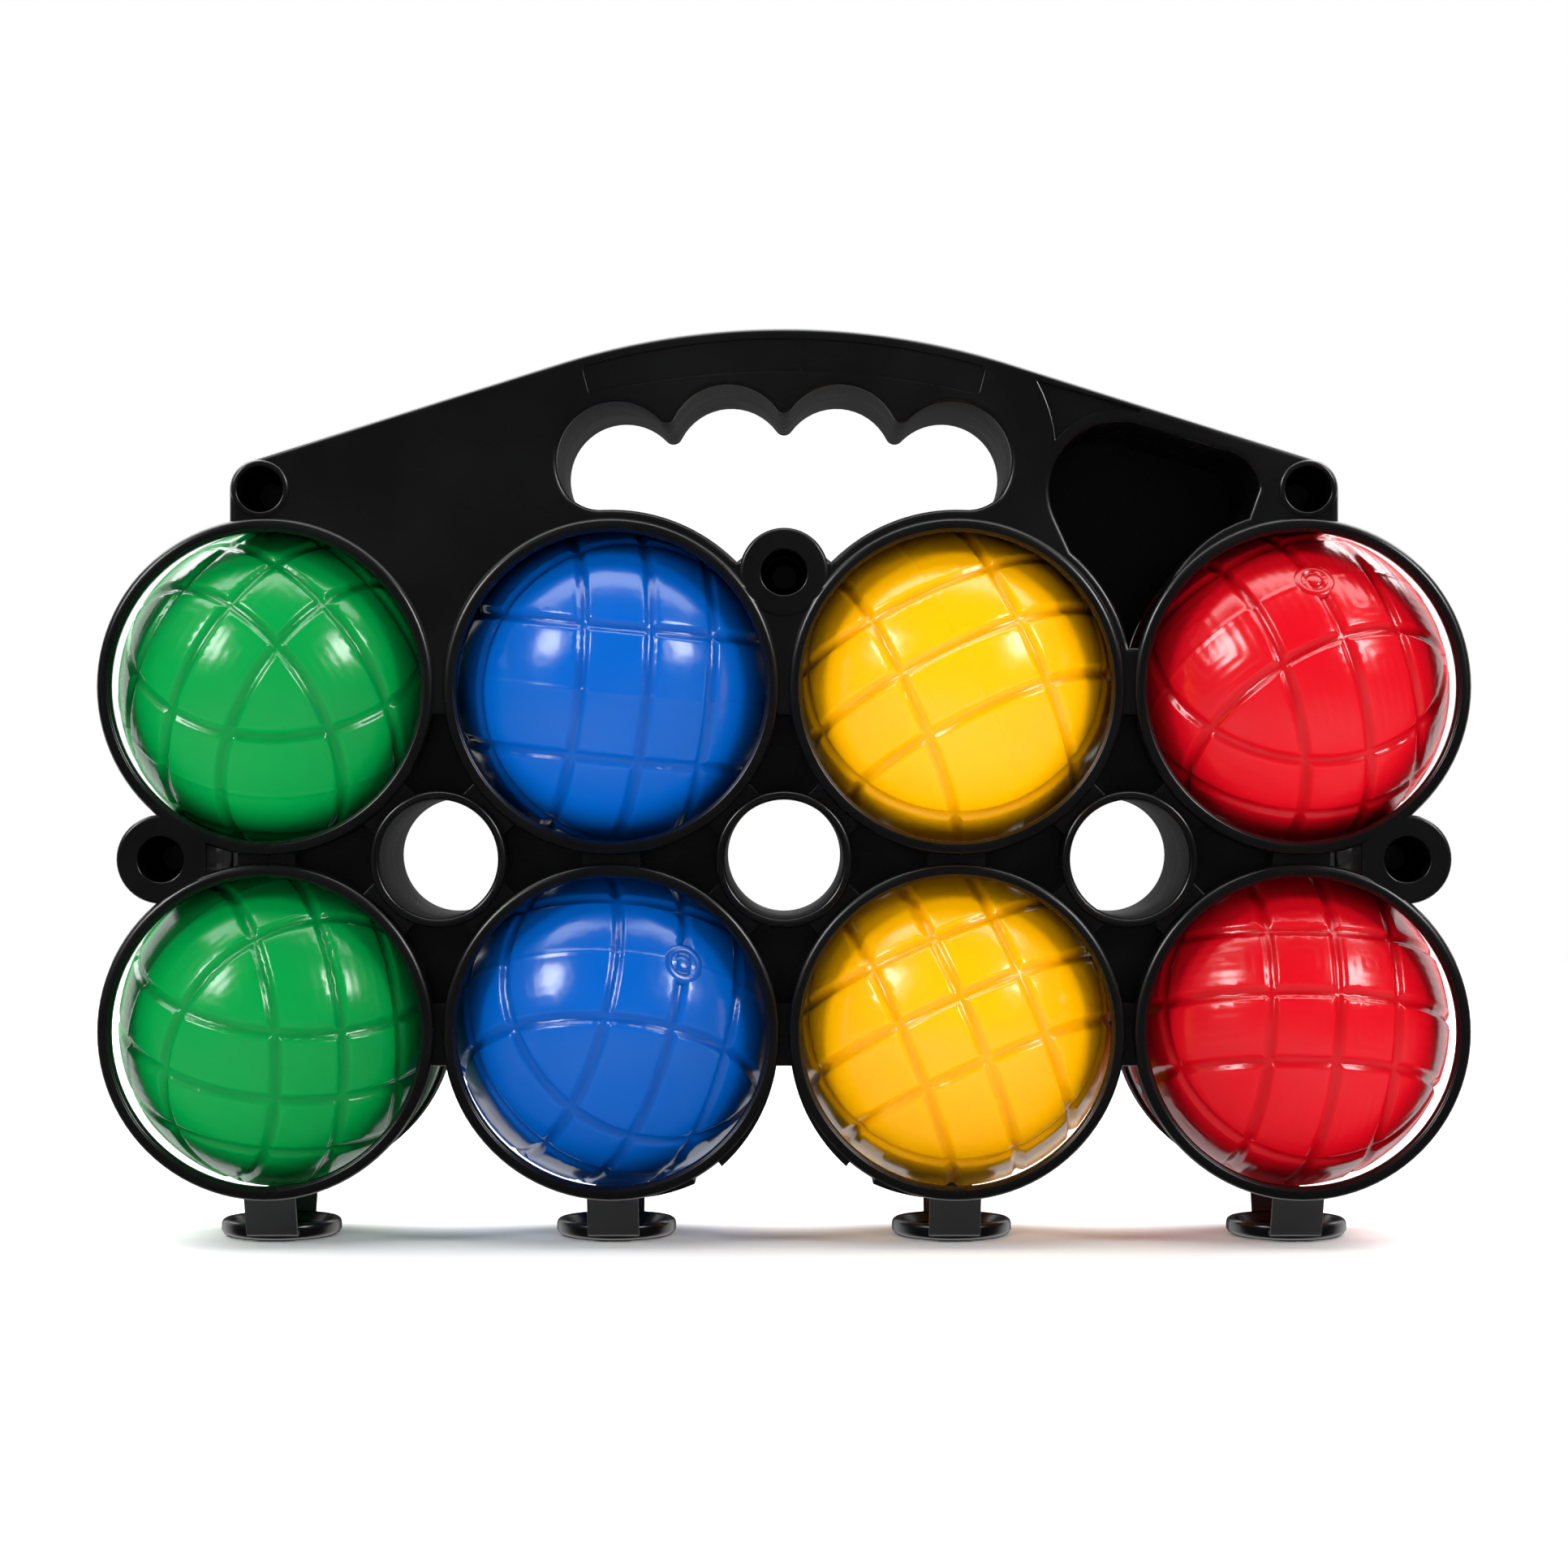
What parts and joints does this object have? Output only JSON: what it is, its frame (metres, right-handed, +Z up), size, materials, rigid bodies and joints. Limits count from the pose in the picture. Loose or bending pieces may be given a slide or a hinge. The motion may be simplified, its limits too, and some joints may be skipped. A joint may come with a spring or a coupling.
{
  "type": "bocce ball set",
  "caption": "Filled plastic throwing balls held in a two-part clamshell carrier with a finger-shaped handle, a jack pocket, carry tubes and round feet.",
  "frame": {"origin": "on the floor under the middle of the four feet", "axes": "+X to the right along the rows of balls, seen from the front; +Z up; the front faces -Y"},
  "size_m": [0.33, 0.08, 0.2209],
  "materials": {
    "carrier": "black injection-moulded polypropylene, satin gloss",
    "green_ball": "glossy blow-moulded polyethylene, green",
    "blue_ball": "glossy blow-moulded polyethylene, blue",
    "yellow_ball": "glossy blow-moulded polyethylene, yellow",
    "red_ball": "glossy blow-moulded polyethylene, red",
    "filling": "water filling, inside the balls"
  },
  "bodies": {
    "back_case": {"back_half": "carrier"},
    "feet": {"foot_1": "carrier", "foot_2": "carrier", "foot_3": "carrier", "foot_4": "carrier"},
    "front_case": {"front_half": "carrier"},
    "green_ball_upper": {"green_ball_upper_shell": "green_ball", "green_ball_upper_plug": "green_ball", "green_ball_upper_filling": "filling"},
    "blue_ball_upper": {"blue_ball_upper_shell": "blue_ball", "blue_ball_upper_plug": "blue_ball", "blue_ball_upper_filling": "filling"},
    "yellow_ball_upper": {"yellow_ball_upper_shell": "yellow_ball", "yellow_ball_upper_plug": "yellow_ball", "yellow_ball_upper_filling": "filling"},
    "red_ball_upper": {"red_ball_upper_shell": "red_ball", "red_ball_upper_plug": "red_ball", "red_ball_upper_filling": "filling"},
    "green_ball_lower": {"green_ball_lower_shell": "green_ball", "green_ball_lower_plug": "green_ball", "green_ball_lower_filling": "filling"},
    "blue_ball_lower": {"blue_ball_lower_shell": "blue_ball", "blue_ball_lower_plug": "blue_ball", "blue_ball_lower_filling": "filling"},
    "yellow_ball_lower": {"yellow_ball_lower_shell": "yellow_ball", "yellow_ball_lower_plug": "yellow_ball", "yellow_ball_lower_filling": "filling"},
    "red_ball_lower": {"red_ball_lower_shell": "red_ball", "red_ball_lower_plug": "red_ball", "red_ball_lower_filling": "filling"}
  },
  "joints": [
    {"name": "feet_hinge", "type": "hinge", "parent": "back_case", "child": "feet", "pos_m": [0, 0.01525, 0.0019], "axis": [1, 0, 0], "range_deg": [0, 90]},
    {"name": "front_hinge", "type": "hinge", "parent": "feet", "child": "front_case", "pos_m": [0, -0.01525, 0.0019], "axis": [1, 0, 0], "range_deg": [0, 90]},
    {"name": "green_ball_upper_lift", "type": "slide", "parent": "back_case", "child": "green_ball_upper", "axis": [0, -1, 0], "range_m": [0, 0.0943]},
    {"name": "blue_ball_upper_lift", "type": "slide", "parent": "back_case", "child": "blue_ball_upper", "axis": [0, -1, 0], "range_m": [0, 0.0943]},
    {"name": "yellow_ball_upper_lift", "type": "slide", "parent": "back_case", "child": "yellow_ball_upper", "axis": [0, -1, 0], "range_m": [0, 0.0943]},
    {"name": "red_ball_upper_lift", "type": "slide", "parent": "back_case", "child": "red_ball_upper", "axis": [0, -1, 0], "range_m": [0, 0.0943]},
    {"name": "green_ball_lower_lift", "type": "slide", "parent": "back_case", "child": "green_ball_lower", "axis": [0, -1, 0], "range_m": [0, 0.0943]},
    {"name": "blue_ball_lower_lift", "type": "slide", "parent": "back_case", "child": "blue_ball_lower", "axis": [0, -1, 0], "range_m": [0, 0.0943]},
    {"name": "yellow_ball_lower_lift", "type": "slide", "parent": "back_case", "child": "yellow_ball_lower", "axis": [0, -1, 0], "range_m": [0, 0.0943]},
    {"name": "red_ball_lower_lift", "type": "slide", "parent": "back_case", "child": "red_ball_lower", "axis": [0, -1, 0], "range_m": [0, 0.0943]}
  ],
  "couplings": [
    {"joint": "front_hinge", "follows": "feet_hinge", "ratio": 1},
    {"joint": "green_ball_upper_lift", "follows": "feet_hinge", "m_per_rad": 0.06},
    {"joint": "blue_ball_upper_lift", "follows": "feet_hinge", "m_per_rad": 0.06},
    {"joint": "yellow_ball_upper_lift", "follows": "feet_hinge", "m_per_rad": 0.06},
    {"joint": "red_ball_upper_lift", "follows": "feet_hinge", "m_per_rad": 0.06},
    {"joint": "green_ball_lower_lift", "follows": "feet_hinge", "m_per_rad": 0.06},
    {"joint": "blue_ball_lower_lift", "follows": "feet_hinge", "m_per_rad": 0.06},
    {"joint": "yellow_ball_lower_lift", "follows": "feet_hinge", "m_per_rad": 0.06},
    {"joint": "red_ball_lower_lift", "follows": "feet_hinge", "m_per_rad": 0.06}
  ]
}
